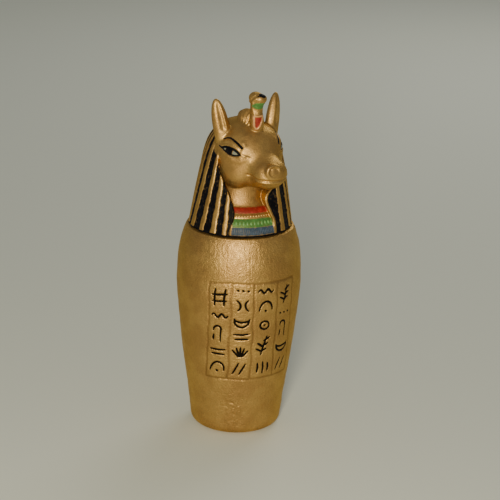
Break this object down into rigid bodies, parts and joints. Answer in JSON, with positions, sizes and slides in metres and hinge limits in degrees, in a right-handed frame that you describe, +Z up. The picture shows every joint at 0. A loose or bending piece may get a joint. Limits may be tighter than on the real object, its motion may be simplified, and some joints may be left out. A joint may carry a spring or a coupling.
{
  "type": "souvenir canopic jar",
  "caption": "Hollow tapering jar on a flat underside, with a lift-off lid cast as a jackal's head in a striped headcloth.",
  "frame": {"origin": "centre of the jar's underside", "axes": "+Z up along the jar's axis, -Y towards the front, where the collar and the panel of strokes face"},
  "size_m": [0.0462, 0.0462, 0.1288],
  "materials": {
    "gold_paint": "metallic gold paint, satin, with an orange-peel surface, on cast resin",
    "painted_gold_lid": "metallic gold paint on cast resin, with stripes, collar and eyes painted by hand in black, red, green and blue"
  },
  "bodies": {
    "root": {"jar_body": "gold_paint", "jackal_head_lid": "painted_gold_lid"}
  },
  "joints": []
}
